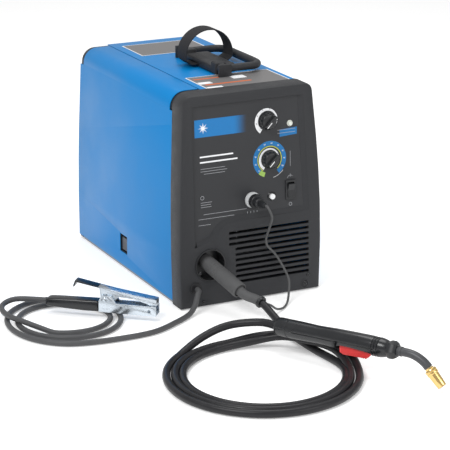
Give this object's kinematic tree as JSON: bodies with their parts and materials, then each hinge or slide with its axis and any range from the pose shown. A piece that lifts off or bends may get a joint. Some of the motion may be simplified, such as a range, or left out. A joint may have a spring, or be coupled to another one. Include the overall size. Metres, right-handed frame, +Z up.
{
  "type": "mig welding machine",
  "caption": "Portable MIG welding machine: blue sheet-steel case with a swing-up side door, black front panel, folding handle, coiled gun cable with gun, and work cable with spring clamp.",
  "frame": {"origin": "centre of the case's flat underside, on the floor it stands on", "axes": "-Y out of the front panel, +X to the right as seen from the front, +Z up"},
  "size_m": [0.574, 0.9992, 0.4374],
  "materials": {
    "blue_paint": "gloss",
    "black_plastic": "textured",
    "plate_black": "satin",
    "grey_plastic": "satin",
    "white_plastic": "satin",
    "red_plastic": "satin",
    "grey_rubber": "matt",
    "black_rubber": "matt",
    "webbing": "woven",
    "zinc_steel": "zinc plated",
    "dark_steel": "satin",
    "grey_paint": "satin",
    "aluminium": "cast",
    "brass": "machined",
    "copper": "machined copper",
    "winding": "varnished copper",
    "core_steel": "laminated steel",
    "board_green": "satin",
    "wire_steel": "copper coated steel",
    "lamp_clear": "clear"
  },
  "bodies": {
    "case": {"base_pan": "grey_paint", "wrapper": "blue_paint", "front_panel": "black_plastic", "rear_panel": "black_plastic", "power_cord_gland": "black_plastic", "switch_bezel": "black_plastic", "trigger_plug": "black_plastic", "handle_base": "black_plastic", "spool_spindle": "black_plastic", "capacitor": "black_plastic", "gun_socket": "black_plastic", "cable_clip": "black_plastic", "gun_handle": "black_plastic", "gun_collar": "black_plastic", "control_plate": "plate_black", "trigger_receptacle": "grey_plastic", "gun_boot": "grey_rubber", "trigger_lead": "grey_rubber", "work_cable": "grey_rubber", "work_cable_gland": "black_rubber", "gun_cable": "black_rubber", "clamp_grip": "black_rubber", "cable_strap": "webbing", "clamp_lower_jaw": "zinc_steel", "clamp_pivot_pin": "zinc_steel", "feed_motor": "dark_steel", "fan_motor": "dark_steel", "fan_shroud": "dark_steel", "gun_neck": "dark_steel", "baffle_plate": "grey_paint", "feed_housing": "aluminium", "rectifier_heatsink": "aluminium", "gas_inlet_fitting": "brass", "gas_valve": "brass", "gun_adapter": "brass", "gas_diffuser": "brass", "nozzle": "brass", "contact_tip": "copper", "clamp_spring": "copper", "transformer_winding": "winding", "transformer_core": "core_steel", "circuit_board": "board_green", "indicator_lamp": "lamp_clear"},
    "door": {"door": "blue_paint", "latch_frame": "black_plastic"},
    "door_latch": {"door_latch": "black_plastic"},
    "voltage_knob": {"voltage_knob": "black_plastic"},
    "wire_speed_knob": {"wire_speed_knob": "black_plastic"},
    "reset_button": {"reset_button": "white_plastic"},
    "power_rocker": {"power_rocker": "black_plastic"},
    "carry_handle": {"carry_handle": "black_plastic"},
    "fan": {"fan_blade": "black_plastic"},
    "spool": {"wire_spool": "black_plastic", "wire_winding": "wire_steel"},
    "drive_roll": {"drive_roll": "zinc_steel"},
    "pressure_arm": {"pressure_arm": "black_plastic"},
    "pressure_roll": {"pressure_roll": "zinc_steel"},
    "tension_knob": {"tension_knob": "black_plastic"},
    "gun_trigger": {"gun_trigger": "red_plastic"},
    "clamp_upper_jaw": {"clamp_upper_jaw": "zinc_steel"}
  },
  "joints": [
    {"name": "door_hinge", "type": "hinge", "parent": "case", "child": "door", "pos_m": [-0.09619, 0, 0.343], "axis": [0, 1, 0], "range_deg": [0, 95]},
    {"name": "latch_slide", "type": "slide", "parent": "door", "child": "door_latch", "axis": [0, 0, 1], "range_m": [0, 0.003], "stiffness_N_per_m": 200, "springref_m": -0.002},
    {"name": "voltage_turn", "type": "hinge", "parent": "case", "child": "voltage_knob", "pos_m": [0.0361, -0.21703, 0.31381], "axis": [0, 0.9992, -0.0397], "range_deg": [0, 270]},
    {"name": "wire_speed_turn", "type": "hinge", "parent": "case", "child": "wire_speed_knob", "pos_m": [0.0401, -0.21974, 0.24557], "axis": [0, 0.9992, -0.0397], "range_deg": [0, 270]},
    {"name": "reset_push", "type": "slide", "parent": "case", "child": "reset_button", "axis": [0, 0.9992, -0.0397], "range_m": [0, 0.003], "stiffness_N_per_m": 300, "springref_m": -0.002},
    {"name": "power_switch", "type": "hinge", "parent": "case", "child": "power_rocker", "pos_m": [0.08, -0.22208, 0.18671], "axis": [1, 0, 0], "range_deg": [-16, 0]},
    {"name": "carry_handle_hinge", "type": "hinge", "parent": "case", "child": "carry_handle", "pos_m": [0.012, -0.0175, 0.3825], "axis": [0, -1, 0], "range_deg": [0, 95]},
    {"name": "fan_spin", "type": "hinge", "parent": "case", "child": "fan", "pos_m": [0.066, 0.19, 0.15], "axis": [0, 1, 0], "continuous": true},
    {"name": "spool_spin", "type": "hinge", "parent": "case", "child": "spool", "pos_m": [-0.094, 0.085, 0.195], "axis": [1, 0, 0], "continuous": true},
    {"name": "drive_roll_spin", "type": "hinge", "parent": "case", "child": "drive_roll", "pos_m": [-0.0785, -0.128, 0.0579], "axis": [1, 0, 0], "continuous": true},
    {"name": "pressure_arm_lift", "type": "hinge", "parent": "case", "child": "pressure_arm", "pos_m": [-0.0785, -0.098, 0.0861], "axis": [-1, 0, 0], "range_deg": [0, 70]},
    {"name": "pressure_roll_spin", "type": "hinge", "parent": "pressure_arm", "child": "pressure_roll", "pos_m": [-0.0785, -0.128, 0.0861], "axis": [1, 0, 0], "continuous": true},
    {"name": "tension_turn", "type": "hinge", "parent": "pressure_arm", "child": "tension_knob", "pos_m": [-0.0825, -0.148, 0.0861], "axis": [0, 0, 1], "continuous": true},
    {"name": "trigger_pull", "type": "hinge", "parent": "case", "child": "gun_trigger", "pos_m": [0.00781, -0.62552, 0.03873], "axis": [0.8858, 0.4641, 0], "range_deg": [0, 6.5], "stiffness_Nm_per_rad": 0.5, "springref_deg": -11.46},
    {"name": "clamp_open", "type": "hinge", "parent": "case", "child": "clamp_upper_jaw", "pos_m": [-0.26085, -0.20063, 0.0343], "axis": [-0.6374, -0.7705, 0], "range_deg": [0, 18], "stiffness_Nm_per_rad": 2, "springref_deg": -22.92}
  ],
  "couplings": [
    {"joint": "pressure_roll_spin", "follows": "drive_roll_spin", "ratio": -1.25}
  ]
}
